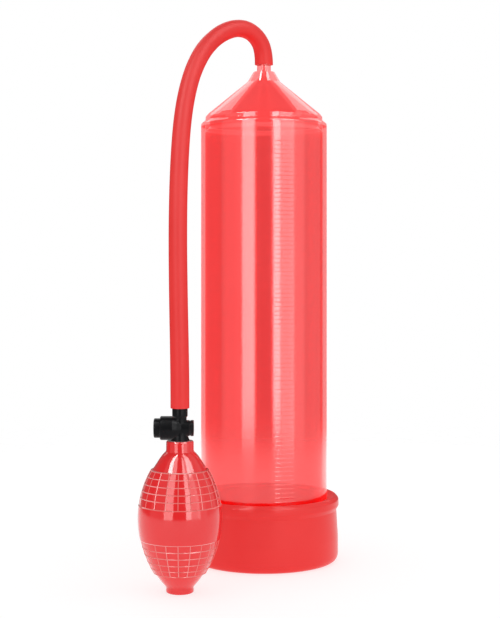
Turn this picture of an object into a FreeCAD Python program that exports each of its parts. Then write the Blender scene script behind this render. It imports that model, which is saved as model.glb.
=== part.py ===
"""Hand-squeezed vacuum pump: clear cylinder with a cone top, soft sleeve round its mouth, hose and squeeze bulb.

+Z is up and the origin is on the floor, at the centre of the sleeve's mouth. -Y is the front, and the bulb
stands in front of the cylinder and to its left. Lengths are millimetres.

Pieces: base_sleeve, cylinder_tube, cone_cap, hose, valve_body, end_cap, stem_o_ring, release_button, release_stem,
stem_seal, release_spring, inlet_disc, inlet_cage, bulb_shell, exhaust_plug, exhaust_umbrella and exhaust_cap.
"""

import FreeCAD, Part
import math
import os

from FreeCAD import Vector

FIT = 0.02        # gap between pieces that are pressed or glued together
RUNNING = 0.05    # gap, on the radius, between pieces that slide in each other
BEYOND = 1.0      # how far a hollow runs past the face that it opens
RIM_BEVEL = 0.3   # small bevel on moulded rims

# Cylinder: an extruded clear tube with a scale moulded on its front.
TUBE_R = 30.0
TUBE_WALL = 2.0
TUBE_BOTTOM = 8.05
TUBE_TOP = 206.4
MARK_PITCH = 2.0
MARK_HEIGHT = 0.6
MARK_PROUD = 0.15
MARK_FIRST = 32.0
MARK_LAST = 198.0
MARK_MIDDLE_DEG = 19.0    # from the front towards the right
MARK_SPAN_DEG = 21.0

# Cone cap: glued into the tube's top, with the hose nipple at its tip.
CAP_SPIGOT_DEPTH = 2.0
CAP_FLANGE = 1.0
CAP_BEVEL = 2.1
CAP_RING_R = 27.85
CAP_RING_TOP = 211.3
CONE_BASE = (26.5, 212.6)     # radius, height
CONE_TIP = (7.7, 227.9)
COLLAR_TOP = (4.8, 232.7)
CAP_WALL = 2.0
NIPPLE_R = 3.35
NIPPLE_STRAIGHT = 2.6     # how far up into the hose the nipple is parallel, before its taper
NIPPLE_IN_HOSE = 5.0
NIPPLE_TIP_R = 2.1
HOSE_START_Z = 236.0
SPIGOT_IN_HOSE = 7.0
AIR_R = 1.25

# Sleeve: one soft moulding that the tube stands in.
SLEEVE_FOOT_R = 35.4
SLEEVE_WAIST = (34.7, 25.8)
SLEEVE_CORNER = 3.5
SLEEVE_BEAD_R = 35.6
SLEEVE_BEAD_Z = 28.0
SLEEVE_TOP = 31.2
BEAD_RISE = 0.9           # height of the slope from the waist out to the bead
BEAD_ROUND = 1.0          # how far the bead's top is rounded down on both sides
BEAD_CROWN = 2.6          # from the bead's outside in to its highest circle
LEDGE_Z = 8.0
MOUTH_R = 14.0
MOUTH_ROUND = 1.5

# Hose: soft tube from the nipple, over and down to the valve.
HOSE_R = 4.1
HOSE_BORE_R = 2.65
ARC_SHARE = 0.45          # of the shorter run, taken by each arc of a bent path
HOSE_ROUTE = [
    (0.0, 0.0, 236.0),
    (0.0, 0.0, 240.6),
    (-1.7, -1.9, 246.9),
    (-6.4, -5.0, 251.6),
    (-12.6, -8.6, 252.6),
    (-19.2, -12.9, 249.9),
    (-25.1, -17.7, 244.6),
    (-29.6, -24.1, 237.6),
    (-33.9, -31.2, 226.3),
    (-37.0, -38.6, 209.2),
    (-38.3, -46.5, 185.5),
    (-38.5, -54.5, 157.6),
    (-37.9, -61.1, 129.4),
    (-37.2, -65.4, 105.3),
    (-36.9, -66.9, 89.0),
    (-36.9, -66.9, 79.5),
]

# Bulb and valve share one upright axis.
BULB_X = -36.9
BULB_Y = -66.9
BULB_TOP = 65.4
BULB_WALL = 1.8
NECK_R = 5.9
NECK_BORE_R = 3.42
NECK_BASE_Z = 60.7
NUB_R = 5.9
NUB_BORE_R = 3.42
NUB_TOP_Z = 2.6
BELLY_R = 18.1
BELLY_Z = 32.5            # where the belly is widest
BELLY_BOW_UP = 41.0       # radius of the side's arc above that, and below it
BELLY_BOW_DOWN = 46.0
BELLY_LOW_Z = 8.7
BELLY_HIGH_Z = 53.1
BAND_STEP = 0.75          # how far the gripping bands stand out of the shoulders
FLOOR_THICK = 3.6         # inside floor above the nub, and roof below the neck
ROOF_THICK = 2.6
INSIDE_ROUND = 5.0        # height of the sloping stretch at both ends inside
SHOULDER_BOW = (0.35, 0.25)

# Valve: a cross of an upright air way and a level barrel along X with the release button in its left end.
BARREL_Z = 70.85
BARREL_R = 5.15
BARREL_LEFT = -8.5
BARREL_SHOULDER = -3.4
SMALL_BARREL_R = 3.47
SMALL_BARREL_START = 0.4
SMALL_BARREL_END = 5.0
HOSE_COLLAR_R = 3.35
HOSE_COLLAR_TOP = 79.5
STUB_R = 2.8
STUB_FLARE_R = 3.5
STUB_FLARE = 1.6          # height of the flare above the neck
HOSE_COLLAR = 3.5         # height of the collar under the hose
COLLAR_SLOPE = 0.2
SPIGOT_TAPER = 0.8        # length of the bevel on the spigot's tip
SPIGOT_TIP = 0.5          # and its width
NECK_SPIGOT_BOTTOM = 59.4
BUTTON_BORE_R = 4.25
BUTTON_BORE_END = -2.8
STEM_BORE_R = 1.6
O_RING_SEAT_R = 1.92
O_RING_SEAT_END = -1.75
SEAL_SEAT_X = 1.7
SEAL_BORE_R = 2.4

BUTTON_R = 4.2
BUTTON_FACE = -11.3
BUTTON_RIM = -5.6
BUTTON_POCKET_R = 3.4
BUTTON_POCKET_X = -9.9
BUTTON_BOSS_R = 1.8
BUTTON_BOSS_X = -7.4
BUTTON_DISH_R = 22.0
BUTTON_EDGE = 0.6         # radius of the round at the face's edge
STEM_R = 0.9
SEAL_R = 2.1
SEAL_THICK = 0.9
STEM_HEAD_R = 1.3
STEM_HEAD = 0.55
SPRING_R = 2.6
SPRING_WIRE_R = 0.25
SPRING_TURNS = 4.5
SPRING_CORNERS = 12
SPRING_END_GAP = 0.06
END_CAP_END = 5.95
END_CAP_VENT_R = 1.5
END_CAP_LIP = 0.4

# One-way valves: a loose disc above the bulb and a rubber umbrella below it.
CAGE_TOP = 60.6
DISC_CHAMBER_TOP = 62.2
DISC_R = 1.95
DISC_THICK = 0.6
PIP_R = 0.35
PIP_HEIGHT = 0.3
PIP_RING_R = 0.7
PLUG_BOTTOM = 0.3
PLUG_TOP = 5.3
PLUG_SEAT = 4.1
PLUG_CHAMBER_R = 2.5
EXHAUST_CAP_TOP = 1.5
UMBRELLA_R = 1.9
UMBRELLA_THICK = 0.6
UMBRELLA_STEM_R = 0.5
UMBRELLA_HEAD_R = 0.95
UMBRELLA_HEAD_Z = 6.2
UMBRELLA_HEAD = 0.5
VENT_HOLE_R = 0.45
VENT_HOLES = 4
CAGE_VENT_RING_R = 1.65
SEAT_VENT_RING_R = 1.25
PIPS = 3


def outline(start, *steps):
    """A closed wire in the XZ plane, from (radius, height) points. A step of two points is an arc: through, to."""
    edges = []
    here = start
    for step in [*steps, start]:
        through, end = step if isinstance(step[0], tuple) else (None, step)
        a, b = Vector(here[0], 0, here[1]), Vector(end[0], 0, end[1])
        if through:
            edges.append(Part.Arc(a, Vector(through[0], 0, through[1]), b).toShape())
        elif a.distanceToPoint(b) > 1e-7:
            edges.append(Part.LineSegment(a, b).toShape())
        here = end
    return Part.Wire(edges)


def turned(start, *steps):
    """A solid turned about the Z axis."""
    return Part.Face(outline(start, *steps)).revolve(Vector(0, 0, 0), Vector(0, 0, 1), 360)


def rod(radius, low, high, x=0.0, y=0.0):
    """An upright round bar."""
    return Part.makeCylinder(radius, high - low, Vector(x, y, low))


def bar(radius, left, right):
    """A round bar along X, in the valve's own frame, whose origin is where its two axes cross."""
    return Part.makeCylinder(radius, right - left, Vector(left, 0, 0), Vector(1, 0, 0))


def along_x(shape):
    """A shape turned about Z, laid along X: its +Z becomes +X."""
    shape.rotate(Vector(0, 0, 0), Vector(0, 1, 0), 90)
    return shape


def on_bulb_axis(shape, z=0.0):
    shape.translate(Vector(BULB_X, BULB_Y, z))
    return shape


def ring_places(count, ring_r):
    """Points spread evenly round a ring."""
    turns = [2 * math.pi * i / count for i in range(count)]
    return [(ring_r * math.cos(a), ring_r * math.sin(a)) for a in turns]


def arc_point(centre, radius, degrees):
    """A point on a circle in the profile plane."""
    a = math.radians(degrees)
    return (centre[0] + radius * math.cos(a), centre[1] + radius * math.sin(a))


def base_sleeve():
    """Foot with a rounded corner, wall drawn in to a waist, rolled bead at the top, and the mouth in its floor."""
    bore = TUBE_R + RUNNING
    corner = (SLEEVE_FOOT_R - SLEEVE_CORNER, SLEEVE_CORNER)
    waist_r, waist_z = SLEEVE_WAIST
    round_centre = (MOUTH_R + MOUTH_ROUND, LEDGE_Z - MOUTH_ROUND)
    return turned(
        (MOUTH_R, 0.0),
        (corner[0], 0.0),
        (arc_point(corner, SLEEVE_CORNER, -45), (SLEEVE_FOOT_R, SLEEVE_CORNER)),
        (waist_r, waist_z),
        (SLEEVE_BEAD_R - 0.2, waist_z + BEAD_RISE),
        ((SLEEVE_BEAD_R, SLEEVE_BEAD_Z), (SLEEVE_BEAD_R - BEAD_RISE, SLEEVE_TOP - BEAD_ROUND)),
        ((SLEEVE_BEAD_R - BEAD_CROWN, SLEEVE_TOP), (bore, SLEEVE_TOP - BEAD_ROUND)),
        (bore, LEDGE_Z),
        (round_centre[0], LEDGE_Z),
        (arc_point(round_centre, MOUTH_ROUND, 135), (MOUTH_R, round_centre[1])),
    )


def scale_mark(z):
    """One raised line of the scale: a thin arc on the tube's outside."""
    inner, outer = TUBE_R - TUBE_WALL / 2, TUBE_R + MARK_PROUD
    ring = Part.makeCylinder(
        outer, MARK_HEIGHT, Vector(0, 0, z - MARK_HEIGHT / 2), Vector(0, 0, 1), MARK_SPAN_DEG
    )
    ring = ring.cut(rod(inner, z - MARK_HEIGHT, z + MARK_HEIGHT))
    first = -90 + MARK_MIDDLE_DEG - MARK_SPAN_DEG / 2
    ring.rotate(Vector(0, 0, 0), Vector(0, 0, 1), first)
    return ring


def cylinder_tube():
    tube = rod(TUBE_R, TUBE_BOTTOM, TUBE_TOP)
    count = round((MARK_LAST - MARK_FIRST) / MARK_PITCH) + 1
    marks = [scale_mark(MARK_FIRST + MARK_PITCH * i) for i in range(count)]
    return tube.fuse(marks).cut(rod(TUBE_R - TUBE_WALL, TUBE_BOTTOM - BEYOND, TUBE_TOP + BEYOND))


def cone_cap():
    """Spigot, bevelled flange, short ring, cone, steep collar and the nipple that the hose goes over."""
    spigot_r = TUBE_R - TUBE_WALL - FIT
    flange_top = TUBE_TOP + CAP_FLANGE
    nipple_top = HOSE_START_Z + NIPPLE_IN_HOSE
    hose_spigot_r = HOSE_BORE_R - RUNNING
    ring_turn = (CAP_RING_R - 0.35, CAP_RING_TOP + 1.0)
    inner_r = spigot_r - CAP_WALL
    slope = math.atan2(CONE_TIP[1] - CONE_BASE[1], CONE_BASE[0] - CONE_TIP[0])
    drop = CAP_WALL / math.cos(slope)
    inner_cone_z = CONE_BASE[1] + (CONE_BASE[0] - inner_r) * math.tan(slope) - drop
    tip_z = CONE_BASE[1] + (CONE_BASE[0] - AIR_R) * math.tan(slope) - drop
    return turned(
        (inner_r, TUBE_TOP - CAP_SPIGOT_DEPTH),
        (spigot_r, TUBE_TOP - CAP_SPIGOT_DEPTH),
        (spigot_r, TUBE_TOP + FIT),
        (TUBE_R, TUBE_TOP + FIT),
        (TUBE_R, flange_top),
        (CAP_RING_R, flange_top + CAP_BEVEL),
        (CAP_RING_R, CAP_RING_TOP),
        (ring_turn, CONE_BASE),
        CONE_TIP,
        COLLAR_TOP,
        (NIPPLE_R, COLLAR_TOP[1]),
        (NIPPLE_R, HOSE_START_Z - FIT),
        (hose_spigot_r, HOSE_START_Z - FIT),
        (hose_spigot_r, HOSE_START_Z + NIPPLE_STRAIGHT),
        (NIPPLE_TIP_R, nipple_top),
        (AIR_R, nipple_top),
        (AIR_R, tip_z),
        (inner_r, inner_cone_z),
    )


def bent_path(route):
    """The route as straight runs joined by tangent arcs, as one wire, and the radius of each arc."""
    points = [Vector(*p) for p in route]
    edges, radii = [], []
    here = points[0]
    for before, at, after in zip(points, points[1:], points[2:]):
        into, out = at - before, after - at
        take = ARC_SHARE * min(into.Length, out.Length)
        turn = into.getAngle(out)
        start = at - Vector(into).normalize() * take
        end = at + Vector(out).normalize() * take
        radius = take / math.tan(turn / 2)
        centre_way = (start - at + end - at).normalize()
        middle = at + centre_way * (radius / math.cos(turn / 2) - radius)
        edges.append(Part.LineSegment(here, start).toShape())
        edges.append(Part.Arc(start, middle, end).toShape())
        radii.append(radius)
        here = end
    edges.append(Part.LineSegment(here, points[-1]).toShape())
    return Part.Wire(edges), radii


def swept(wire, radius):
    start = wire.Edges[0].valueAt(wire.Edges[0].FirstParameter)
    way = wire.Edges[0].tangentAt(wire.Edges[0].FirstParameter)
    ring = Part.Wire([Part.makeCircle(radius, start, way)])
    return wire.makePipeShell([ring], True, True)


def hose():
    wire, radii = bent_path(HOSE_ROUTE)
    tube = swept(wire, HOSE_R).cut(swept(wire, HOSE_BORE_R))
    expected = math.pi * (HOSE_R**2 - HOSE_BORE_R**2) * wire.Length
    print("hose length", round(wire.Length, 1), "radii", [round(r, 1) for r in radii])
    print("hose volume", round(tube.Volume, 1), "expected", round(expected, 1))
    return tube


def valve_body():
    """Level barrel that narrows to the right, with the air way crossing it, all in one moulding."""
    low, high = NECK_SPIGOT_BOTTOM - BARREL_Z, HOSE_COLLAR_TOP - BARREL_Z
    neck_top = BULB_TOP - BARREL_Z
    barrel = turned(
        (0.0, BARREL_LEFT),
        (BARREL_R - RIM_BEVEL, BARREL_LEFT),
        (BARREL_R, BARREL_LEFT + RIM_BEVEL),
        (BARREL_R, BARREL_SHOULDER),
        ((BARREL_R - 0.45, BARREL_SHOULDER + 1.9), (SMALL_BARREL_R, SMALL_BARREL_START)),
        (SMALL_BARREL_R, SMALL_BARREL_END),
        (0.0, SMALL_BARREL_END),
    )
    hose_spigot_r = HOSE_BORE_R - RUNNING
    upright = turned(
        (0.0, low),
        (NECK_BORE_R - FIT - RIM_BEVEL, low),
        (NECK_BORE_R - FIT, low + RIM_BEVEL),
        (NECK_BORE_R - FIT, neck_top + FIT),
        (STUB_FLARE_R, neck_top + FIT),
        (STUB_R, neck_top + STUB_FLARE),
        (STUB_R, high - HOSE_COLLAR - COLLAR_SLOPE),
        (HOSE_COLLAR_R, high - HOSE_COLLAR),
        (HOSE_COLLAR_R, high - FIT),
        (hose_spigot_r, high - FIT),
        (hose_spigot_r, high + SPIGOT_IN_HOSE - SPIGOT_TAPER),
        (hose_spigot_r - SPIGOT_TIP, high + SPIGOT_IN_HOSE),
        (0.0, high + SPIGOT_IN_HOSE),
    )
    body = along_x(barrel).fuse(upright)
    hollows = [
        bar(BUTTON_BORE_R, BARREL_LEFT - BEYOND, BUTTON_BORE_END),
        bar(O_RING_SEAT_R, BUTTON_BORE_END - BEYOND, O_RING_SEAT_END),
        bar(STEM_BORE_R, O_RING_SEAT_END - BEYOND, SEAL_SEAT_X),
        bar(SEAL_BORE_R, SEAL_SEAT_X, SMALL_BARREL_END + BEYOND),
        rod(AIR_R, low - BEYOND, high + SPIGOT_IN_HOSE + BEYOND),
        rod(SEAL_BORE_R, low - BEYOND, DISC_CHAMBER_TOP - BARREL_Z),
    ]
    return on_bulb_axis(body.cut(hollows), BARREL_Z)


def release_button():
    """Dished cap that slides in the barrel's left end: hollow for the spring, with a boss that grips the stem."""
    edge_r = BUTTON_R - BUTTON_EDGE
    dish = math.sqrt(BUTTON_DISH_R**2 - edge_r**2)
    edge_centre = (edge_r, BUTTON_FACE + BUTTON_EDGE)
    sag = BUTTON_DISH_R - dish
    cup = turned(
        (0.0, BUTTON_FACE + sag),
        ((edge_r / 2, BUTTON_FACE + sag * 3 / 4), (edge_r, BUTTON_FACE)),
        (arc_point(edge_centre, BUTTON_EDGE, -45), (BUTTON_R, edge_centre[1])),
        (BUTTON_R, BUTTON_RIM),
        (BUTTON_POCKET_R, BUTTON_RIM),
        (BUTTON_POCKET_R, BUTTON_POCKET_X),
        (BUTTON_BOSS_R, BUTTON_POCKET_X),
        (BUTTON_BOSS_R, BUTTON_BOSS_X),
        (STEM_R + FIT, BUTTON_BOSS_X),
        (STEM_R + FIT, BUTTON_POCKET_X),
        (0.0, BUTTON_POCKET_X),
    )
    return on_bulb_axis(along_x(cup), BARREL_Z)


def release_stem():
    seal_end = SEAL_SEAT_X + RUNNING + SEAL_THICK
    stem = bar(STEM_R, BUTTON_POCKET_X + FIT, seal_end + FIT)
    head = bar(STEM_HEAD_R, seal_end + FIT, seal_end + FIT + STEM_HEAD)
    return on_bulb_axis(stem.fuse(head), BARREL_Z)


def stem_seal():
    left = SEAL_SEAT_X + RUNNING
    hole = bar(STEM_R + FIT, left - BEYOND, left + SEAL_THICK + BEYOND)
    washer = bar(SEAL_R, left, left + SEAL_THICK).cut(hole)
    return on_bulb_axis(washer, BARREL_Z)


def stem_o_ring():
    """Rubber ring that keeps air from passing along the stem to the spring's chamber."""
    wire_r = (O_RING_SEAT_R - FIT - STEM_R - RUNNING) / 2
    centre_r = STEM_R + RUNNING + wire_r
    middle = (BUTTON_BORE_END + O_RING_SEAT_END) / 2
    ring = Part.makeTorus(centre_r, wire_r, Vector(middle, 0, 0), Vector(1, 0, 0))
    return on_bulb_axis(ring, BARREL_Z)


def release_spring():
    """Coil spring between the button's pocket and the barrel's step. Its wire runs through points on a helix."""
    left = BUTTON_POCKET_X + SPRING_WIRE_R + SPRING_END_GAP
    right = BUTTON_BORE_END - SPRING_WIRE_R - SPRING_END_GAP
    corner_r = SPRING_R / math.cos(math.pi / SPRING_CORNERS)
    count = round(SPRING_TURNS * SPRING_CORNERS)
    turns = [2 * math.pi * i / SPRING_CORNERS for i in range(count + 1)]
    route = [
        (left + (right - left) * i / count, corner_r * math.cos(turn), corner_r * math.sin(turn))
        for i, turn in enumerate(turns)
    ]
    return on_bulb_axis(swept(bent_path(route)[0], SPRING_WIRE_R), BARREL_Z)


def end_cap():
    """Vented cap on the barrel's right end, with a lip that centres it in the bore."""
    lip_left = SMALL_BARREL_END - END_CAP_LIP
    cap = turned(
        (END_CAP_VENT_R, lip_left),
        (SEAL_BORE_R - FIT, lip_left),
        (SEAL_BORE_R - FIT, SMALL_BARREL_END + FIT),
        (SMALL_BARREL_R, SMALL_BARREL_END + FIT),
        (SMALL_BARREL_R, END_CAP_END - RIM_BEVEL),
        (SMALL_BARREL_R - RIM_BEVEL, END_CAP_END),
        (END_CAP_VENT_R, END_CAP_END),
    )
    return on_bulb_axis(along_x(cap), BARREL_Z)


def inlet_cage():
    """Perforated disc in the end of the valve's lower spigot, with three pips that the loose disc lies on."""
    cage = rod(SEAL_BORE_R - FIT, NECK_SPIGOT_BOTTOM, CAGE_TOP - PIP_HEIGHT)
    pips = [rod(PIP_R, NECK_SPIGOT_BOTTOM, CAGE_TOP, x, y) for x, y in ring_places(PIPS, PIP_RING_R)]
    cage = cage.fuse(pips)
    vents = ring_places(VENT_HOLES, CAGE_VENT_RING_R)
    holes = [rod(VENT_HOLE_R, NECK_SPIGOT_BOTTOM - BEYOND, CAGE_TOP, x, y) for x, y in vents]
    return on_bulb_axis(cage.cut(holes))


def inlet_disc():
    return on_bulb_axis(rod(DISC_R, CAGE_TOP + FIT, CAGE_TOP + FIT + DISC_THICK))


def belly(z, inward=0.0):
    """A point on the bulb's side at a height, or on a skin that lies further in."""
    bow = BELLY_BOW_UP if z > BELLY_Z else BELLY_BOW_DOWN
    return (BELLY_R - bow + math.sqrt((bow - inward) ** 2 - (z - BELLY_Z) ** 2), z)


def belly_arcs(low, high, inward=0.0):
    """Two outline steps up the bulb's side, from low to the widest point and on to high."""
    widest = belly(BELLY_Z, inward)
    return (
        (belly((low + BELLY_Z) / 2, inward), widest),
        (belly((BELLY_Z + high) / 2, inward), belly(high, inward)),
    )


def bulb_shell():
    """Hollow vinyl bulb: neck, shoulder, belly that stands out a step at both ends, and a nub for the exhaust."""
    low, high = BELLY_LOW_Z, BELLY_HIGH_Z
    inner_low, inner_high = NUB_TOP_Z + FLOOR_THICK, NECK_BASE_Z - ROOF_THICK
    side_low, side_high = inner_low + INSIDE_ROUND, inner_high - INSIDE_ROUND
    bow_r, bow_z = SHOULDER_BOW
    foot_r, shoulder_r = belly(low)[0] - BAND_STEP, belly(high)[0] - BAND_STEP
    up_inside = belly_arcs(side_low, side_high, BULB_WALL)
    down_inside = (
        (up_inside[1][0], up_inside[0][1]),
        (up_inside[0][0], belly(side_low, BULB_WALL)),
    )
    shell = turned(
        (NUB_BORE_R, 0.0),
        (NUB_R - 0.5, 0.0),
        ((NUB_R - 0.15, 0.15), (NUB_R, 0.5)),
        ((NUB_R - 0.15, NUB_TOP_Z * 0.6), (NUB_R, NUB_TOP_Z)),
        (((NUB_R + foot_r) / 2 + bow_r, (NUB_TOP_Z + low) / 2 - bow_z), (foot_r, low)),
        belly(low),
        *belly_arcs(low, high),
        (shoulder_r, high),
        (((NECK_R + shoulder_r) / 2 + bow_r, (NECK_BASE_Z + high) / 2 + bow_z), (NECK_R + 0.1, NECK_BASE_Z)),
        (NECK_R, BULB_TOP - RIM_BEVEL),
        (NECK_R - RIM_BEVEL, BULB_TOP),
        (NECK_BORE_R, BULB_TOP),
        (NECK_BORE_R, inner_high),
        up_inside[1][1],
        *down_inside,
        (NUB_BORE_R, inner_low),
    )
    return on_bulb_axis(shell)


def exhaust_plug():
    """Hard insert pressed into the nub, with a perforated seat above the umbrella's chamber."""
    plug = rod(NUB_BORE_R - FIT, PLUG_BOTTOM, PLUG_TOP)
    vents = ring_places(VENT_HOLES, SEAT_VENT_RING_R)
    hollows = [
        rod(PLUG_CHAMBER_R, PLUG_BOTTOM - BEYOND, PLUG_SEAT),
        rod(UMBRELLA_STEM_R + RUNNING, PLUG_SEAT - BEYOND, PLUG_TOP + BEYOND),
        *[rod(VENT_HOLE_R, PLUG_SEAT - BEYOND, PLUG_TOP + BEYOND, x, y) for x, y in vents],
    ]
    return on_bulb_axis(plug.cut(hollows))


def exhaust_umbrella():
    """Rubber disc on a headed stem: it covers the seat's holes from below and drops to let air out."""
    top = PLUG_SEAT - RUNNING
    head_top = UMBRELLA_HEAD_Z + UMBRELLA_HEAD
    return on_bulb_axis(
        turned(
            (0.0, top - UMBRELLA_THICK),
            (UMBRELLA_R - 0.3, top - UMBRELLA_THICK),
            (UMBRELLA_R, top - 0.2),
            (UMBRELLA_R, top),
            (UMBRELLA_STEM_R, top),
            (UMBRELLA_STEM_R, UMBRELLA_HEAD_Z),
            (UMBRELLA_HEAD_R, UMBRELLA_HEAD_Z),
            (UMBRELLA_STEM_R, head_top),
            (0.0, head_top),
        )
    )


def exhaust_cap():
    """Vented disc that closes the plug's chamber from below."""
    cap = rod(PLUG_CHAMBER_R - FIT, PLUG_BOTTOM, EXHAUST_CAP_TOP)
    return on_bulb_axis(cap.cut(rod(AIR_R, PLUG_BOTTOM - BEYOND, EXHAUST_CAP_TOP + BEYOND)))


PIECES = [
    base_sleeve, cylinder_tube, cone_cap, hose, valve_body, end_cap, stem_o_ring, release_button, release_stem,
    stem_seal, release_spring, inlet_disc, inlet_cage, bulb_shell, exhaust_plug, exhaust_umbrella, exhaust_cap,
]


def main():
    os.makedirs("parts", exist_ok=True)
    for make in PIECES:
        shape = make()
        solids = shape.Solids
        if not shape.isValid() or not solids:
            print("BAD", make.__name__, shape.isValid(), len(solids))
        piece = solids[0] if len(solids) == 1 else Part.makeCompound(solids)
        piece.exportStep(f"parts/{make.__name__}.step")
        print(make.__name__, len(solids), "solid,", round(piece.Volume, 1), "mm3")


main()
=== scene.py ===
"""Looks for a squeeze-bulb vacuum pump: clear cylinder, cone cap, sleeve, hose, release valve and bulb.

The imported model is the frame. Heights and places come from its nodes; the pieces are then modelled in
the order in which the pump is put together. Sizes are in millimetres unless a name or a comment says
otherwise.
"""

import math

import bpy
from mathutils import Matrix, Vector


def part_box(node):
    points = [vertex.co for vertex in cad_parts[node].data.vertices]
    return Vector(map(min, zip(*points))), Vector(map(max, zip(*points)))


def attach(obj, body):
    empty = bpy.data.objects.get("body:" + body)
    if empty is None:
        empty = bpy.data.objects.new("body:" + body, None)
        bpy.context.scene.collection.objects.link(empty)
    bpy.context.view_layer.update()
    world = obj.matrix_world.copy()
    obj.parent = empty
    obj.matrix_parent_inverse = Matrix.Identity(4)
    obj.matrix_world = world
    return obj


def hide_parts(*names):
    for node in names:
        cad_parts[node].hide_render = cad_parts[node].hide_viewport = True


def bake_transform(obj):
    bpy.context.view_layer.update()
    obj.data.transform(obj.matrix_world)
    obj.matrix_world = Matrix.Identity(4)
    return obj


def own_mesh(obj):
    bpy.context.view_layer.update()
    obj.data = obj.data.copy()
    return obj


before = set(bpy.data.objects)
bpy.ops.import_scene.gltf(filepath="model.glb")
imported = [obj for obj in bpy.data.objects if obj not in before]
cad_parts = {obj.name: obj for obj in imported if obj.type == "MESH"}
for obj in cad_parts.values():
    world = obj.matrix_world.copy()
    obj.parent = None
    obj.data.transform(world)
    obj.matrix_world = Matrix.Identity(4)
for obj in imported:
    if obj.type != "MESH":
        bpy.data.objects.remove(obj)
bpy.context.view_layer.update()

MM = 0.001


# ---------------------------------------------------------------- table, lights and camera
# A round white table that fades out into a white room, which lights everything evenly. Tall panels to the
# left, to the right and behind only show in gloss, as upright stripes and rims. CLEAR_WALLS is how many
# clear surfaces sight passes through.

TABLE_RADIUS = 560
TABLE_FADES_FROM = 300
TABLE_GREY = 0.35
TABLE_GLOW = 0.69
ROOM_SEEN = 1.0
ROOM_LIGHT = 0.92
ROOM_IN_GLOSS = 0.16
CLEAR_WALLS = 24

bpy.context.scene.cycles.transparent_max_bounces = CLEAR_WALLS

bpy.ops.object.select_all(action="DESELECT")
bpy.ops.mesh.primitive_circle_add(vertices=128, radius=TABLE_RADIUS * MM, fill_type="NGON")
table = bpy.context.object
table.name = "table"

white_top = bpy.data.materials.new("white_table_top")
white_top.use_nodes = True
top_shader = white_top.node_tree.nodes["Principled BSDF"]
top_shader.inputs["Base Color"].default_value = (TABLE_GREY, TABLE_GREY, TABLE_GREY, 1)
top_shader.inputs["Roughness"].default_value = 0.7
top_shader.inputs["Specular IOR Level"].default_value = 0.2
top_shader.inputs["Emission Color"].default_value = (1, 1, 1, 1)
top_shader.inputs["Emission Strength"].default_value = TABLE_GLOW
white_nodes, white_links = white_top.node_tree.nodes, white_top.node_tree.links
table_place = white_nodes.new("ShaderNodeTexCoord")
from_middle = white_nodes.new("ShaderNodeVectorMath")
from_middle.operation = "LENGTH"
fade = white_nodes.new("ShaderNodeMapRange")
fade.interpolation_type = "SMOOTHSTEP"
fade.inputs["From Min"].default_value = TABLE_FADES_FROM * MM
fade.inputs["From Max"].default_value = TABLE_RADIUS * MM
fade.inputs["To Min"].default_value = 1
fade.inputs["To Max"].default_value = 0
white_links.new(table_place.outputs["Object"], from_middle.inputs[0])
white_links.new(from_middle.outputs["Value"], fade.inputs["Value"])
white_links.new(fade.outputs["Result"], top_shader.inputs["Alpha"])
table.data.materials.append(white_top)

room = bpy.data.worlds.new("white_room")
bpy.context.scene.world = room
room.use_nodes = True
room_nodes, room_links = room.node_tree.nodes, room.node_tree.links
room_paint = room_nodes["Background"]
room_paint.inputs["Color"].default_value = (1, 1, 1, 1)
ray = room_nodes.new("ShaderNodeLightPath")
glossy_part = room_nodes.new("ShaderNodeMix")
glossy_part.inputs["A"].default_value = ROOM_SEEN
glossy_part.inputs["B"].default_value = ROOM_IN_GLOSS
diffuse_part = room_nodes.new("ShaderNodeMix")
diffuse_part.inputs["B"].default_value = ROOM_LIGHT
room_links.new(ray.outputs["Is Glossy Ray"], glossy_part.inputs["Factor"])
room_links.new(ray.outputs["Is Diffuse Ray"], diffuse_part.inputs["Factor"])
room_links.new(glossy_part.outputs["Result"], diffuse_part.inputs["A"])
room_links.new(diffuse_part.outputs["Result"], room_paint.inputs["Strength"])


def soft_box(name, turn_deg, distance, width, low, high, brightness):
    """An upright panel that faces the pump's axis and only shows in gloss.

    turn_deg is from the front to the right. distance, width, low and high are in metres.
    """
    data = bpy.data.lights.new(name, "AREA")
    data.shape = "RECTANGLE"
    data.size, data.size_y = width, high - low
    data.energy = brightness * math.pi * data.size * data.size_y
    light = bpy.data.objects.new(name, data)
    bpy.context.scene.collection.objects.link(light)
    turn = math.radians(turn_deg)
    light.location = (distance * math.sin(turn), -distance * math.cos(turn), (low + high) / 2)
    light.rotation_euler = (math.radians(90), 0, turn)
    light.visible_camera = False
    light.visible_diffuse = False


# Name, turn, distance, width, low, high, brightness.
soft_box("strip_left", -28.5, 0.95, 0.38, -0.06, 2.4, 3.2)
soft_box("strip_right", 22.5, 0.95, 0.22, -0.05, 2.4, 4.7)
soft_box("wide_right", 43.0, 1.1, 0.50, -0.3, 2.0, 1.9)
soft_box("middle_right", 63.0, 1.15, 0.60, -0.3, 2.0, 0.4)
soft_box("far_right", 88.0, 1.1, 1.50, -0.3, 2.0, 0.45)
soft_box("wide_left", -60.0, 1.1, 0.90, -0.3, 2.0, 0.35)
soft_box("over_left", -50.0, 0.6, 0.20, 0.6, 2.6, 13.0)
soft_box("over_right", 56.0, 0.6, 0.38, 0.6, 2.6, 5.0)
soft_box("behind", 180.0, 1.3, 2.60, 0.8, 2.1, 1.3)

CAMERA_PLACE = (-6.64, -697.4, 149.04)
CAMERA_LENS = 85.05
CAMERA_SHIFT_UP = -0.1003

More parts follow.
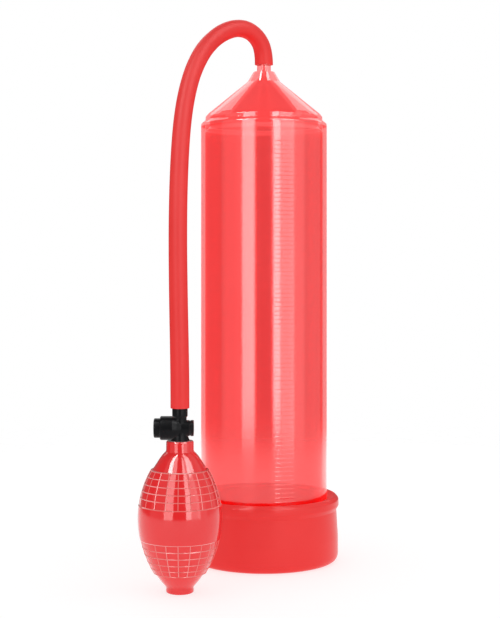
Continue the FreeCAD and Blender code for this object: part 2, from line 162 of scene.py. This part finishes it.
view = bpy.data.cameras.new("camera")
view.lens = CAMERA_LENS
view.sensor_width = 36
view.shift_y = CAMERA_SHIFT_UP
camera = bpy.data.objects.new("camera", view)
camera.location = Vector(CAMERA_PLACE) * MM
camera.rotation_euler = (math.radians(90), 0, 0)
bpy.context.scene.collection.objects.link(camera)
bpy.context.scene.camera = camera
bpy.context.scene.view_settings.view_transform = "Standard"


# ---------------------------------------------------------------- base sleeve
# A thick soft rubber ring that the cylinder stands in, cast in one piece: rounded foot, slightly drawn-in
# wall, rolled bead at the top, and a round mouth in the floor. The cylinder is pushed down into it.

_, sleeve_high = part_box("base_sleeve")
SLEEVE_TOP = sleeve_high.z / MM
MOUTH_R = 14.0
FOOT_R = 35.35
WAIST_R = 34.55
BEAD_R = 35.65
BEAD_LOW = 26.6
LEDGE = 8.0             # the cylinder stands on it
TUBE_R = 30.0
TUBE_GAP = 0.05


def rounded(corners, steps=6):
    """A closed outline of (radius, height) points. Each corner is (radius, height, rounding)."""
    outline = []
    ring = zip(corners[-1:] + corners[:-1], corners, corners[1:] + corners[:1])
    for before, corner, after in ring:
        here = Vector(corner[:2])
        if corner[2] == 0:
            outline.append(here)
            continue
        into = here - Vector(before[:2])
        out = Vector(after[:2]) - here
        take = corner[2] * math.tan(into.angle(out) / 2)
        start = here - into.normalized() * take
        end = here + out.normalized() * take
        for i in range(steps + 1):
            t = i / steps
            outline.append(start * (1 - t) ** 2 + here * 2 * t * (1 - t) + end * t ** 2)
    return outline


def spun(name, outline, steps, angle=360, closed=True):
    """A mesh made by extruding one vertex along the outline and spinning that about Z."""
    bpy.ops.object.select_all(action="DESELECT")
    bpy.ops.mesh.primitive_plane_add(size=MM, location=(0, 0, 0))
    piece = bpy.context.object
    piece.name = name
    bpy.ops.object.mode_set(mode="EDIT")
    bpy.ops.mesh.select_mode(type="VERT")
    bpy.ops.mesh.select_all(action="SELECT")
    bpy.ops.mesh.merge(type="CENTER")
    points = [Vector(p[:2]) for p in outline]
    bpy.ops.transform.translate(value=(points[0].x * MM, 0, points[0].y * MM))
    for here, there in zip(points, points[1:] + points[:1] * closed):
        step = (there - here) * MM
        bpy.ops.mesh.extrude_region_move(TRANSFORM_OT_translate={"value": (step.x, 0, step.y)})
    bpy.ops.mesh.select_all(action="SELECT")
    bpy.ops.mesh.spin(steps=steps, angle=math.radians(angle), center=(0, 0, 0), axis=(0, 0, 1))
    bpy.ops.mesh.select_all(action="SELECT")
    bpy.ops.mesh.remove_doubles(threshold=1e-7)
    bpy.ops.mesh.normals_make_consistent(inside=False)
    bpy.ops.object.mode_set(mode="OBJECT")
    return piece


def smooth(piece, angle_deg=40):
    bpy.ops.object.select_all(action="DESELECT")
    piece.select_set(True)
    bpy.context.view_layer.objects.active = piece
    bpy.ops.object.shade_smooth_by_angle(angle=math.radians(angle_deg))


def dressed(piece, material, body, slot, *nodes):
    """Gives a finished piece its material and its body, and hides the CAD nodes that it stands for. slot is
    not used.
    """
    piece.data.materials.clear()
    piece.data.materials.append(material)
    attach(piece, body)
    if nodes:
        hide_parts(*nodes)


def moulded(name, colour, shade, roughness, grain, depth):
    """A moulded finish: colour varies a little towards shade, with a grain (mm) that is depth (mm) deep."""
    material = bpy.data.materials.new(name)
    material.use_nodes = True
    nodes, links = material.node_tree.nodes, material.node_tree.links
    shader = nodes["Principled BSDF"]
    place = nodes.new("ShaderNodeTexCoord")
    cloud = nodes.new("ShaderNodeTexNoise")
    cloud.inputs["Scale"].default_value = 1 / (24 * MM)
    cloud.inputs["Detail"].default_value = 3
    tint = nodes.new("ShaderNodeValToRGB")
    tint.color_ramp.elements[0].position = 0.32
    tint.color_ramp.elements[0].color = (*shade, 1)
    tint.color_ramp.elements[1].position = 0.68
    tint.color_ramp.elements[1].color = (*colour, 1)
    fine = nodes.new("ShaderNodeTexNoise")
    fine.inputs["Scale"].default_value = 1 / (grain * MM)
    fine.inputs["Detail"].default_value = 4
    sheen = nodes.new("ShaderNodeMapRange")
    sheen.inputs["To Min"].default_value = roughness * 0.85
    sheen.inputs["To Max"].default_value = roughness * 1.2
    bump = nodes.new("ShaderNodeBump")
    bump.inputs["Strength"].default_value = 0.6
    bump.inputs["Distance"].default_value = depth * MM
    links.new(place.outputs["Object"], cloud.inputs["Vector"])
    links.new(place.outputs["Object"], fine.inputs["Vector"])
    links.new(cloud.outputs["Fac"], tint.inputs["Fac"])
    links.new(cloud.outputs["Fac"], sheen.inputs["Value"])
    links.new(fine.outputs["Fac"], bump.inputs["Height"])
    links.new(tint.outputs["Color"], shader.inputs["Base Color"])
    links.new(sheen.outputs["Result"], shader.inputs["Roughness"])
    links.new(bump.outputs["Normal"], shader.inputs["Normal"])
    return material, shader


sleeve = spun(
    "sleeve",
    rounded([
        (MOUTH_R, 0.0, 0.8),
        (FOOT_R, 0.0, 4.2),
        (FOOT_R - 0.05, 12.0, 8.0),
        (WAIST_R, BEAD_LOW - 2.0, 1.2),
        (BEAD_R, BEAD_LOW, 1.2),
        (BEAD_R - 0.1, BEAD_LOW + 3.0, 1.4),
        (34.0, SLEEVE_TOP, 1.0),
        (TUBE_R + TUBE_GAP, SLEEVE_TOP - 1.4, 0.2),
        (TUBE_R + TUBE_GAP, LEDGE, 0.3),
        (MOUTH_R, LEDGE, 1.5),
    ]),
    144,
)
smooth(sleeve)
sleeve_rubber, sleeve_shader = moulded(
    "red_sleeve_rubber", (0.87, 0.046, 0.044), (0.84, 0.041, 0.040), roughness=0.3, grain=0.7, depth=0.02,
)
sleeve_shader.inputs["Specular IOR Level"].default_value = 0.06
sleeve_shader.inputs["Coat Weight"].default_value = 0.35
sleeve_shader.inputs["Coat IOR"].default_value = 1.35
sleeve_shader.inputs["Coat Roughness"].default_value = 0.08
dressed(sleeve, sleeve_rubber, "base", "red_sleeve_rubber", "base_sleeve")

# Inside, where the cylinder is pushed in, it is matt and painted a brighter red than the outside: painted
# light that lifts the shade in that deep ring.
sleeve_inside_painted_light, painted_light_inside_shader = moulded(
    "red_sleeve_inside_painted_lighter", (0.92, 0.030, 0.029), (0.90, 0.026, 0.025), roughness=0.5, grain=0.7, depth=0.02,
)
painted_light_inside_shader.inputs["Specular IOR Level"].default_value = 0.1
sleeve.data.materials.append(sleeve_inside_painted_light)
# These faces of the socket get the painted light.
for polygon in sleeve.data.polygons:
    middle = polygon.center / MM
    if math.hypot(middle.x, middle.y) < TUBE_R + 2 * TUBE_GAP and middle.z > LEDGE - 0.1:
        polygon.material_index = 1


# ---------------------------------------------------------------- clear cylinder with its scale
# Extruded clear red acrylic tube with 2 mm walls. The scale on its front is low raised lines, 2 mm apart,
# with a longer one every 10 mm. It stands on the sleeve's ledge.

tube_low, tube_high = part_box("cylinder_tube")
TUBE_BOTTOM = tube_low.z / MM
TUBE_TOP = tube_high.z / MM
TUBE_WALL = 2.0
TUBE_EDGE = 0.3
MARK_PITCH = 2.0
MARK_HEIGHT = 0.7
MARK_PROUD = 0.08
MARK_SLOPE = 0.3
MARK_FIRST = 32.0
MARK_LAST = 198.0
MARKS_PER_LONG = 5
TUBE_STEPS = 120
MARK_FROM_DEG = 8       # from the front towards the right
MARK_SHORT_DEG = 18
MARK_LONG_DEG = 24

mark_count = round((MARK_LAST - MARK_FIRST) / MARK_PITCH) + 1
mark_heights = [MARK_FIRST + MARK_PITCH * i for i in range(mark_count)]
mark_rows = [(TUBE_R, z + side * MARK_HEIGHT / 2) for z in mark_heights for side in (-1, 1)]
tube_inside = TUBE_R - TUBE_WALL
tube = spun(
    "tube",
    [
        (tube_inside + TUBE_EDGE, TUBE_BOTTOM),
        (TUBE_R - TUBE_EDGE, TUBE_BOTTOM),
        (TUBE_R, TUBE_BOTTOM + TUBE_EDGE),
        *mark_rows,
        (TUBE_R, TUBE_TOP),
        (tube_inside, TUBE_TOP),
        (tube_inside, TUBE_BOTTOM + TUBE_EDGE),
    ],
    TUBE_STEPS,
)


def turn_from_front(point):
    """Degrees from the front (-Y) towards the right (+X)."""
    return math.degrees(math.atan2(point.x, -point.y))


def on_a_mark(polygon):
    middle = polygon.center / MM
    nearest = round((middle.z - MARK_FIRST) / MARK_PITCH)
    if not 0 <= nearest < mark_count or math.hypot(middle.x, middle.y) < tube_inside + TUBE_WALL / 2:
        return False
    if abs(middle.z - mark_heights[nearest]) > MARK_HEIGHT / 4:
        return False
    reach = MARK_SHORT_DEG if nearest % MARKS_PER_LONG else MARK_LONG_DEG
    return MARK_FROM_DEG < turn_from_front(polygon.center) < MARK_FROM_DEG + reach


def edit_faces(piece, wanted):
    """Opens a piece in edit mode with only the wanted faces selected."""
    bpy.ops.object.select_all(action="DESELECT")
    piece.select_set(True)
    bpy.context.view_layer.objects.active = piece
    bpy.ops.object.mode_set(mode="EDIT")
    bpy.ops.mesh.select_mode(type="FACE")
    bpy.ops.mesh.select_all(action="DESELECT")
    bpy.ops.object.mode_set(mode="OBJECT")
    for polygon in piece.data.polygons:
        polygon.select = wanted(polygon)
    bpy.ops.object.mode_set(mode="EDIT")


edit_faces(tube, on_a_mark)
bpy.ops.mesh.inset(thickness=MARK_SLOPE * MM, depth=MARK_PROUD * MM, use_boundary=True)
bpy.ops.object.mode_set(mode="OBJECT")
smooth(tube, 10)


HEAD_ON_GLOSS = 0.08
EDGE_GLOSS = 0.7
GLOSS_RISE = 5          # power of the rise in gloss towards the edges, as in Schlick's formula


def clear_plastic(name, tint, streak, dullness):
    """Clear plastic: each surface passes the tint and adds gloss by the angle.

    streak is the depth (mm) of the upright lines that drawing or moulding leaves.
    """
    material = bpy.data.materials.new(name)
    material.use_nodes = True
    nodes, links = material.node_tree.nodes, material.node_tree.links
    nodes.remove(nodes["Principled BSDF"])
    through = nodes.new("ShaderNodeBsdfTransparent")
    gloss = nodes.new("ShaderNodeBsdfAnisotropic")
    gloss.inputs["Color"].default_value = (1, 1, 1, 1)
    both = nodes.new("ShaderNodeAddShader")
    turned_away = nodes.new("ShaderNodeLayerWeight")
    steep = nodes.new("ShaderNodeMath")
    steep.operation = "POWER"
    steep.inputs[1].default_value = GLOSS_RISE
    mirrored_share = nodes.new("ShaderNodeMapRange")
    mirrored_share.inputs["To Min"].default_value = HEAD_ON_GLOSS
    mirrored_share.inputs["To Max"].default_value = EDGE_GLOSS
    surface = nodes.new("ShaderNodeMixShader")
    place = nodes.new("ShaderNodeTexCoord")
    drawn = nodes.new("ShaderNodeMapping")
    drawn.inputs["Scale"].default_value = (1, 1, 0.02)
    lines = nodes.new("ShaderNodeTexNoise")
    lines.inputs["Scale"].default_value = 1 / (5 * MM)
    lines.inputs["Detail"].default_value = 2
    bump = nodes.new("ShaderNodeBump")
    bump.inputs["Strength"].default_value = 0.5
    bump.inputs["Distance"].default_value = streak * MM
    cloud = nodes.new("ShaderNodeTexNoise")
    cloud.inputs["Scale"].default_value = 1 / (40 * MM)
    depth = nodes.new("ShaderNodeValToRGB")
    depth.color_ramp.elements[0].position = 0.3
    depth.color_ramp.elements[0].color = (tint[0], tint[1] * 0.96, tint[2] * 0.96, 1)
    depth.color_ramp.elements[1].position = 0.7
    depth.color_ramp.elements[1].color = (*tint, 1)
    sheen = nodes.new("ShaderNodeMapRange")
    sheen.inputs["To Min"].default_value = dullness
    sheen.inputs["To Max"].default_value = dullness * 1.4
    links.new(place.outputs["Object"], drawn.inputs["Vector"])
    links.new(place.outputs["Object"], cloud.inputs["Vector"])
    links.new(drawn.outputs["Vector"], lines.inputs["Vector"])
    links.new(lines.outputs["Fac"], bump.inputs["Height"])
    links.new(cloud.outputs["Fac"], depth.inputs["Fac"])
    links.new(cloud.outputs["Fac"], sheen.inputs["Value"])
    links.new(depth.outputs["Color"], through.inputs["Color"])
    links.new(sheen.outputs["Result"], gloss.inputs["Roughness"])
    links.new(bump.outputs["Normal"], gloss.inputs["Normal"])
    links.new(through.outputs["BSDF"], both.inputs[0])
    links.new(gloss.outputs["BSDF"], both.inputs[1])
    links.new(turned_away.outputs["Facing"], steep.inputs[0])
    links.new(steep.outputs["Value"], mirrored_share.inputs["Value"])
    links.new(mirrored_share.outputs["Result"], surface.inputs["Fac"])
    links.new(through.outputs["BSDF"], surface.inputs[1])
    links.new(both.outputs["Shader"], surface.inputs[2])
    links.new(surface.outputs["Shader"], nodes["Material Output"].inputs["Surface"])
    return material


clear_red = clear_plastic("clear_red_acrylic", (0.93, 0.445, 0.445), streak=0.008, dullness=0.11)
dressed(tube, clear_red, "cylinder", "clear_red_plastic", "cylinder_tube")
tube.visible_shadow = False


# ---------------------------------------------------------------- cone cap
# Moulded in the same clear red plastic and glued into the tube: spigot, bevelled flange, short ring, cone,
# steep collar and hollow nipple. The air way runs up through it.

_, cap_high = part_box("cone_cap")
CAP_TOP = cap_high.z / MM
SPIGOT_R = 27.98
SPIGOT_INSIDE_R = 25.9
FLANGE_TOP = TUBE_TOP + 1.3
NIPPLE_R = 2.6
AIR_R = 1.25
HOSE_START = 236.0
cap = spun(
    "cap",
    rounded([
        (SPIGOT_INSIDE_R, TUBE_TOP - 0.4, 1.5),
        (SPIGOT_R, TUBE_TOP - 2.0, 0.0),
        (SPIGOT_R, TUBE_TOP + 0.02, 0.0),
        (TUBE_R, TUBE_TOP + 0.02, 0.0),
        (TUBE_R, FLANGE_TOP, 1.6),
        (27.9, FLANGE_TOP + 1.6, 0.5),
        (27.85, 211.0, 0.6),
        (26.6, 212.5, 0.7),
        (7.8, 227.8, 0.9),
        (4.9, 232.7, 0.7),
        (3.35, 232.9, 0.3),
        (3.3, HOSE_START - 0.02, 0.2),
        (NIPPLE_R, HOSE_START - 0.02, 0.0),
        (NIPPLE_R, CAP_TOP - 0.9, 0.2),
        (NIPPLE_R - 0.45, CAP_TOP, 0.2),
        (AIR_R, CAP_TOP, 0.2),
        (AIR_R, 230.6, 0.6),
        (SPIGOT_INSIDE_R, 210.6, 1.4),
    ]),
    120,
)
smooth(cap)
# The cap's tint is a little lighter than the cylinder's: painted light, for the light that its
# upward-facing cone catches from above.
clear_cap_painted_lighter = clear_plastic("clear_red_moulded_cap_painted_lighter", (0.93, 0.49, 0.49), streak=0.01, dullness=0.035)
glued_joint = clear_plastic("clear_glued_joint", (1.0, 0.97, 0.97), streak=0.01, dullness=0.5)
dressed(cap, clear_cap_painted_lighter, "cylinder", "clear_red_plastic", "cone_cap")
cap.data.materials.append(glued_joint)
for polygon in cap.data.polygons:
    if polygon.center.z < TUBE_TOP * MM:
        polygon.material_index = 1
cap.visible_shadow = False


# ---------------------------------------------------------------- hose
# Soft red rubber tube, 8.2 mm across and 220 mm long, stretched over the cap's nipple and the valve's
# spigot. It arches over and hangs down to the bulb. HOSE_ROUTE is the list of points that its line follows.

HOSE_ROUTE = [
    (0.0, 0.0, 236.0),
    (0.0, 0.0, 240.6),
    (-1.7, -1.9, 246.9),
    (-6.4, -5.0, 251.6),
    (-12.6, -8.6, 252.6),
    (-19.2, -12.9, 249.9),
    (-25.1, -17.7, 244.6),
    (-29.6, -24.1, 237.6),
    (-33.9, -31.2, 226.3),
    (-37.0, -38.6, 209.2),
    (-38.3, -46.5, 185.5),
    (-38.5, -54.5, 157.6),
    (-37.9, -61.1, 129.4),
    (-37.2, -65.4, 105.3),
    (-36.9, -66.9, 89.0),
    (-36.9, -66.9, 79.5),
]
HOSE_R = 4.1
HOSE_WALL = 1.45
HOSE_STRETCH = (1.06, 1.05, 1.0)     # over the nipple, at the route's first points

hose_line = bpy.data.curves.new("hose_line", "CURVE")
hose_line.dimensions = "3D"
hose_line.resolution_u = 12
spline = hose_line.splines.new("NURBS")
spline.points.add(len(HOSE_ROUTE) - 1)
for point, place in zip(spline.points, HOSE_ROUTE):
    point.co = (*(Vector(place) * MM), 1)
spline.order_u = 3
spline.use_endpoint_u = True
for point, stretch in zip(spline.points, HOSE_STRETCH):
    point.radius = stretch
hose = bpy.data.objects.new("hose_tube", hose_line)
bpy.context.scene.collection.objects.link(hose)
bpy.context.view_layer.update()
hose_path = [tuple(v.co) for v in bpy.data.meshes.new_from_object(hose).vertices]

hose_line.bevel_depth = HOSE_R * MM
hose_line.bevel_resolution = 7
bpy.ops.object.select_all(action="DESELECT")
hose.select_set(True)
bpy.context.view_layer.objects.active = hose
bpy.ops.object.convert(target="MESH")
hose = bpy.context.object
wall = hose.modifiers.new("wall", "SOLIDIFY")
wall.thickness = HOSE_WALL * MM
wall.offset = -1
bpy.ops.object.modifier_apply(modifier="wall")
smooth(hose)

hose_rubber, hose_shader = moulded(
    "red_hose_rubber", (0.86, 0.030, 0.028), (0.82, 0.025, 0.023), roughness=0.45, grain=0.35, depth=0.015,
)
hose_shader.inputs["Specular IOR Level"].default_value = 0.22
hose.data.materials.clear()
hose.data.materials.append(hose_rubber)
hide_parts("hose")
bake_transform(hose)


# ---------------------------------------------------------------- release valve
# Black moulded cross: an upright air way between hose and bulb, and a level barrel with the push button in
# its left end and a vented cap in its right end. The hose and the bulb's neck are pushed over its spigots.

bulb_low, bulb_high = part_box("bulb_shell")
BULB_X = (bulb_low.x + bulb_high.x) / 2 / MM
BULB_Y = (bulb_low.y + bulb_high.y) / 2 / MM
NECK_TOP = bulb_high.z / MM
BARREL_Z = 70.85
BARREL_R = 5.15
BUTTON_R = 4.25
CAP_END_R = 3.47
HOSE_END = HOSE_ROUTE[-1][2] - BARREL_Z     # above the barrel's axis


def at_bulb(piece, height=0.0, level=False):
    """Moves a piece, made about the Z axis, to the bulb's axis. A level one is first laid along X."""
    bpy.ops.object.select_all(action="DESELECT")
    piece.select_set(True)
    bpy.context.view_layer.objects.active = piece
    if level:
        piece.rotation_euler = (0, math.radians(90), 0)
    piece.location = Vector((BULB_X, BULB_Y, height)) * MM
    bpy.ops.object.transform_apply(location=True, rotation=True, scale=True)


def modified(piece, kind, **settings):
    """Adds a modifier, sets it and applies it."""
    bpy.ops.object.select_all(action="DESELECT")
    piece.select_set(True)
    bpy.context.view_layer.objects.active = piece
    modifier = piece.modifiers.new(kind.lower(), kind)
    for key, value in settings.items():
        setattr(modifier, key, value)
    bpy.ops.object.modifier_apply(modifier=modifier.name)


barrel = spun(
    "valve_barrel",
    rounded([
        (0.0, -2.8, 0.0),
        (BUTTON_R, -2.8, 0.3),
        (BUTTON_R, -8.5, 0.0),
        (4.9, -8.5, 0.25),
        (BARREL_R, -8.1, 0.2),
        (BARREL_R, -3.2, 1.2),
        (4.55, -1.2, 0.8),
        (CAP_END_R, 0.6, 0.4),
        (CAP_END_R, 4.1, 0.1),
        (3.2, 4.2, 0.1),
        (3.2, 4.55, 0.1),
        (CAP_END_R, 4.65, 0.1),
        (CAP_END_R, 5.0, 0.0),
        (0.0, 5.0, 0.0),
    ], 4),
    64,
)
air_way = spun(
    "valve_air_way",
    rounded([
        (0.0, NECK_TOP + 0.02 - BARREL_Z, 0.0),
        (4.3, NECK_TOP + 0.02 - BARREL_Z, 0.3),
        (3.4, -3.2, 0.4),
        (2.9, 2.0, 0.0),
        (2.9, 4.6, 0.3),
        (3.35, 5.3, 0.3),
        (3.35, HOSE_END - 0.02, 0.25),
        (2.6, HOSE_END - 0.02, 0.0),
        (2.6, HOSE_END + 6.2, 0.2),
        (2.1, HOSE_END + 7.0, 0.2),
        (0.0, HOSE_END + 7.0, 0.0),
    ], 4),
    64,
)
at_bulb(barrel, BARREL_Z, level=True)
at_bulb(air_way, BARREL_Z)
modified(barrel, "BOOLEAN", operation="UNION", solver="EXACT", object=air_way)
bpy.data.objects.remove(air_way)
barrel.name = "valve_cross"
modified(barrel, "BEVEL", width=0.18 * MM, segments=2, limit_method="ANGLE", angle_limit=math.radians(50))
smooth(barrel, 35)
black_plastic, black_shader = moulded(
    "black_moulded_plastic", (0.006, 0.006, 0.007), (0.003, 0.003, 0.004),
    roughness=0.27, grain=0.25, depth=0.012,
)
black_shader.inputs["Specular IOR Level"].default_value = 0.12
dressed(barrel, black_plastic, "squeeze_unit", "black_plastic", "valve_body")

push_button = spun(
    "push_button",
    rounded([
        (0.0, -11.0, 0.0),
        (1.9, -11.1, 0.0),
        (3.4, -11.3, 0.3),
        (BUTTON_R - 0.05, -11.15, 0.5),
        (BUTTON_R - 0.05, -5.6, 0.2),
        (3.4, -5.6, 0.2),
        (3.4, -9.9, 0.2),
        (0.0, -9.9, 0.0),
    ], 4),
    64,
)
at_bulb(push_button, BARREL_Z, level=True)
smooth(push_button)
dressed(push_button, black_plastic, "release", "black_plastic", "release_button")

vent_cap = spun(
    "vent_cap",
    rounded([
        (1.5, 4.6, 0.0),
        (2.38, 4.6, 0.0),
        (2.38, 5.02, 0.0),
        (CAP_END_R, 5.02, 0.1),
        (CAP_END_R, 5.95, 0.35),
        (2.2, 5.95, 0.1),
        (2.0, 5.75, 0.1),
        (1.5, 5.75, 0.1),
    ], 4),
    64,
)
at_bulb(vent_cap, BARREL_Z, level=True)
smooth(vent_cap)
dressed(vent_cap, black_plastic, "squeeze_unit", "black_plastic", "end_cap")


# ---------------------------------------------------------------- valve's inner pieces
# Steel stem, rubber seal, ring, disc and umbrella, and the small black inserts that hold them. They sit
# inside the valve, the bulb's neck and its nub, and keep their shapes.

black_rubber, _ = moulded(
    "black_seal_rubber", (0.020, 0.020, 0.020), (0.012, 0.012, 0.012), roughness=0.6, grain=0.2, depth=0.01,
)
steel, steel_shader = moulded(
    "drawn_spring_steel", (0.60, 0.60, 0.58), (0.45, 0.45, 0.44), roughness=0.3, grain=0.15, depth=0.005,
)
steel_shader.inputs["Metallic"].default_value = 1

INNER_FINISH = {
    black_rubber: ("stem_o_ring", "stem_seal", "inlet_disc", "exhaust_umbrella"),
    steel: ("release_stem",),
    black_plastic: ("inlet_cage", "exhaust_plug", "exhaust_cap"),
}
for finish, names in INNER_FINISH.items():
    for name in names:
        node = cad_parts[name]
        node.data.materials.clear()
        node.data.materials.append(finish)
        node.visible_glossy = False
        smooth(node)


# ---------------------------------------------------------------- button's spring
# A coil of thin steel wire, wound four and a half turns, between the button's pocket and a step in the
# barrel. It shortens as the button is pressed, and pushes the button back out.

COIL_R = 2.6
COIL_WIRE_R = 0.25
COIL_LEFT = -9.59
COIL_RIGHT = -3.11
COIL_TURNS = 4.5
COIL_STEPS = 108
WIRE_SIDES = 10

bpy.ops.object.select_all(action="DESELECT")
upright = (math.radians(90), 0, 0)
bpy.ops.mesh.primitive_circle_add(vertices=WIRE_SIDES, radius=COIL_WIRE_R * MM, rotation=upright)
coil = bpy.context.object
coil.name = "button_spring"
coil.location = Vector((COIL_R, 0, COIL_LEFT)) * MM
bpy.ops.object.transform_apply(location=True, rotation=True, scale=True)
modified(
    coil, "SCREW", axis="Z", angle=COIL_TURNS * 2 * math.pi, screw_offset=(COIL_RIGHT - COIL_LEFT) * MM,
    steps=COIL_STEPS, render_steps=COIL_STEPS,
)
bpy.ops.object.mode_set(mode="EDIT")
bpy.ops.mesh.select_all(action="SELECT")
bpy.ops.mesh.fill_holes(sides=0)
bpy.ops.mesh.normals_make_consistent(inside=False)
bpy.ops.object.mode_set(mode="OBJECT")
at_bulb(coil, BARREL_Z, level=True)
smooth(coil)
dressed(coil, steel, "squeeze_unit", "spring_steel", "release_spring")
coil.visible_glossy = False
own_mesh(coil)


# ---------------------------------------------------------------- bulb
# Glossy red vinyl, dipped or blow-moulded in one hollow piece. A smooth belly band stands between two bands
# of small tiles with raised lines between them, for grip. Its neck grips the valve, and its nub holds the
# exhaust plug. One sector is modelled and then turned round the axis.

BELLY_R = 18.1
BELLY_Z = 32.5
BELLY_ROUND_UP = 41.0
BELLY_ROUND_DOWN = 46.0
BELLY_BAND = (23.3, 37.8)
BELLY_PROUD = 0.18
UPPER_ROWS = (38.0, 41.3, 44.3, 47.3, 50.3, 53.0)
LOWER_ROWS = (8.7, 11.1, 13.9, 17.0, 20.0, 23.1)
SKIRT_TOP = 8.55        # the smooth skirt and shoulder end here, BAND_STEP below the tiles
SHOULDER_LOW = 53.15
BAND_STEP = 0.75
BAND_STEPS = (
    (SKIRT_TOP, LOWER_ROWS[0]),
    (LOWER_ROWS[-1], BELLY_BAND[0]),
    (BELLY_BAND[1], UPPER_ROWS[0]),
    (UPPER_ROWS[-1], SHOULDER_LOW),
)
TILE_COLUMNS = 20
STEPS_PER_TILE = 8
TILE_LINE = 0.2
TILE_DEPTH = 0.22
PLUG_R = 3.42           # what the neck and the nub grip
NECK_R = 5.95
BULB_WALL = 1.8


def belly(z):
    """The bulb's radius at a height, on its two big arcs."""
    bow = BELLY_ROUND_UP if z > BELLY_Z else BELLY_ROUND_DOWN
    return BELLY_R - bow + math.sqrt(bow ** 2 - (z - BELLY_Z) ** 2)


def belly_points(low, high, rows, proud=0.0):
    """Outline points up the belly from low to just below high, proud of it by that much."""
    return [(belly(z) + proud, z) for z in (low + (high - low) * i / rows for i in range(rows))]


def tiled_band(rows, steps_per_row):
    """Outline points up a tiled band, with every line of the grid on a point."""
    points = []
    for low, high in zip(rows, rows[1:]):
        points += belly_points(low, high, steps_per_row)
    return points + [(belly(rows[-1]), rows[-1])]


skin = [
    (PLUG_R, 0.25), (3.6, 0.0), (5.5, 0.0), (5.95, 0.35), (6.1, 1.2), (6.0, 2.2), (6.15, 2.7),
    (7.1, 3.8), (8.45, 5.4), (9.6, 7.0), (belly(8.6) - BAND_STEP, SKIRT_TOP),
    *tiled_band(LOWER_ROWS, 2),
    *belly_points(*BELLY_BAND, 12, BELLY_PROUD), (belly(BELLY_BAND[1]) + BELLY_PROUD, BELLY_BAND[1]),
    *tiled_band(UPPER_ROWS, 2),
    (belly(53.1) - BAND_STEP, SHOULDER_LOW), (10.35, 55.3), (9.15, 57.2), (7.9, 59.0), (6.9, 60.1),
    (6.15, 60.8), (NECK_R, 61.6), (NECK_R, NECK_TOP - 0.5), (5.6, NECK_TOP), (PLUG_R, NECK_TOP),
]
sector = 360 / TILE_COLUMNS
bulb = spun("bulb", skin, STEPS_PER_TILE, angle=sector, closed=False)


def tile_of(polygon):
    """The lower edge of the tile that a face of the first sector lies in, or None."""
    middle = polygon.center / MM
    for rows in (LOWER_ROWS, UPPER_ROWS):
        for low, high in zip(rows, rows[1:]):
            if low < middle.z < high:
                return low
    return None


bulb_vinyl, bulb_shader = moulded(
    "red_bulb_vinyl", (0.85, 0.014, 0.017), (0.82, 0.011, 0.013), roughness=0.2, grain=0.8, depth=0.01,
)
# The raised lines and the small steps at the bands' edges are painted a lighter pink: a painted highlight
# for the light that catches on their edges.
raised_line_vinyl_painted_highlight, line_painted_highlight_shader = moulded(
    "red_bulb_raised_lines_painted_highlight", (0.90, 0.20, 0.185), (0.88, 0.16, 0.15), roughness=0.3, grain=0.8, depth=0.01,
)
for shader in (bulb_shader, line_painted_highlight_shader):
    shader.inputs["Specular IOR Level"].default_value = 0.1
    shader.inputs["Coat Weight"].default_value = 1.0
    shader.inputs["Coat Roughness"].default_value = 0.07
    shader.inputs["Coat IOR"].default_value = 1.6
bulb.data.materials.append(bulb_vinyl)
bulb.data.materials.append(raised_line_vinyl_painted_highlight)
VINYL, LINES_PAINTED_HIGHLIGHT = 0, 1
# Faces of the tiled bands and of the bands' steps get the painted highlight; below, the inset tiles go back
# to plain vinyl.
for polygon in bulb.data.polygons:
    on_a_step = any(low < polygon.center.z / MM < high for low, high in BAND_STEPS)
    polygon.material_index = LINES_PAINTED_HIGHLIGHT if on_a_step or tile_of(polygon) else VINYL
for first_row in LOWER_ROWS[:-1] + UPPER_ROWS[:-1]:
    edit_faces(bulb, lambda polygon: tile_of(polygon) == first_row)
    bpy.ops.mesh.inset(thickness=TILE_LINE * MM, depth=-TILE_DEPTH * MM, use_boundary=True)
    bpy.ops.object.mode_set(mode="OBJECT")
    for polygon in bulb.data.polygons:
        if polygon.select:
            polygon.material_index = VINYL
bpy.ops.object.mode_set(mode="EDIT")
bpy.ops.mesh.select_all(action="SELECT")
bpy.ops.mesh.spin(
    steps=TILE_COLUMNS - 1, dupli=True, angle=math.radians(360 - sector), center=(0, 0, 0), axis=(0, 0, 1),
)
bpy.ops.mesh.select_all(action="SELECT")
bpy.ops.mesh.remove_doubles(threshold=2e-6)
bpy.ops.mesh.normals_make_consistent(inside=False)
bpy.ops.object.mode_set(mode="OBJECT")
at_bulb(bulb)
modified(bulb, "SOLIDIFY", thickness=BULB_WALL * MM, offset=-1)
smooth(bulb, 32)
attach(bulb, "squeeze_unit")
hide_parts("bulb_shell")
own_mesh(bulb)

# Mirrored in the clear cylinder, these would be dark stripes in its highlights.
for piece in (hose, barrel, push_button, vent_cap, bulb):
    piece.visible_glossy = False
